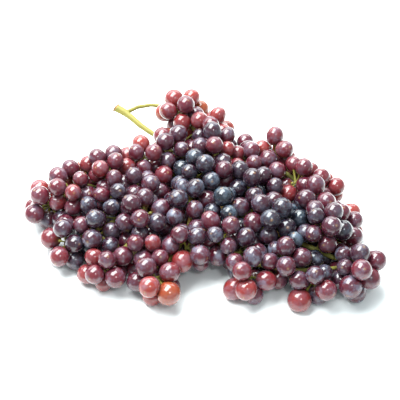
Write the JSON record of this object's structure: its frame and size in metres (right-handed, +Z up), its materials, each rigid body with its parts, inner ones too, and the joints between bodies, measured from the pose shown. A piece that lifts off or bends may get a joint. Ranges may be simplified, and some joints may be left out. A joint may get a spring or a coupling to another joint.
{
  "type": "bunch of grapes",
  "caption": "A bunch of small round red table grapes lying flat: a branched green stalk with a cut end bears short sprigs crowded with berries, in a broad drooping bunch.",
  "frame": {"origin": "middle of the bottom of the bounding box, on the surface that the bunch lies on", "axes": "+Z up from the surface; +X along the bunch's longest extent, from the loose wing towards the heavy tail; +Y towards the side that the cut end of the stalk lies on"},
  "size_m": [0.32, 0.2424, 0.0645],
  "materials": {
    "stalk": "matt, fresh yellow-green stalk, browned at its cut end",
    "grape_sprig": "grape skin: smooth, translucent, dusky red to purple-black, with a grey waxy bloom; stands for moist fruit, not plastic"
  },
  "bodies": {
    "root": {"apron_sprig_01": "grape_sprig", "apron_sprig_02": "grape_sprig", "apron_sprig_03": "grape_sprig", "crest_sprig_01": "grape_sprig", "crest_sprig_02": "grape_sprig", "crown_sprig_01": "grape_sprig", "crown_sprig_02": "grape_sprig", "crown_sprig_03": "grape_sprig", "crown_sprig_04": "grape_sprig", "crown_sprig_05": "grape_sprig", "crown_sprig_06": "grape_sprig", "heart_sprig_01": "grape_sprig", "heart_sprig_02": "grape_sprig", "keel_sprig_01": "grape_sprig", "keel_sprig_02": "grape_sprig", "keel_sprig_03": "grape_sprig", "keel_sprig_04": "grape_sprig", "keel_sprig_05": "grape_sprig", "keel_sprig_06": "grape_sprig", "rachis_sprig_01": "grape_sprig", "rachis_sprig_02": "grape_sprig", "rachis_sprig_03": "grape_sprig", "rachis_sprig_04": "grape_sprig", "rachis_sprig_05": "grape_sprig", "rachis_sprig_06": "grape_sprig", "rachis_sprig_07": "grape_sprig", "rachis_sprig_08": "grape_sprig", "rachis_sprig_09": "grape_sprig", "rachis_sprig_10": "grape_sprig", "rachis_sprig_11": "grape_sprig", "rachis_sprig_12": "grape_sprig", "shoulder_sprig_01": "grape_sprig", "shoulder_sprig_02": "grape_sprig", "shoulder_sprig_03": "grape_sprig", "shoulder_sprig_04": "grape_sprig", "shoulder_sprig_05": "grape_sprig", "shoulder_sprig_06": "grape_sprig", "shoulder_sprig_07": "grape_sprig", "shoulder_sprig_08": "grape_sprig", "shoulder_sprig_09": "grape_sprig", "shoulder_sprig_10": "grape_sprig", "skirt_sprig_01": "grape_sprig", "skirt_sprig_02": "grape_sprig", "skirt_sprig_03": "grape_sprig", "skirt_sprig_04": "grape_sprig", "skirt_sprig_05": "grape_sprig", "stalk": "stalk", "tip_sprig_01": "grape_sprig", "tip_sprig_02": "grape_sprig", "tip_sprig_03": "grape_sprig", "tip_sprig_04": "grape_sprig", "tip_sprig_05": "grape_sprig", "tip_sprig_06": "grape_sprig", "wing_sprig_01": "grape_sprig", "wing_sprig_02": "grape_sprig", "wing_sprig_03": "grape_sprig", "wing_sprig_04": "grape_sprig", "wing_sprig_05": "grape_sprig", "wing_sprig_06": "grape_sprig", "wing_sprig_07": "grape_sprig"}
  },
  "joints": []
}
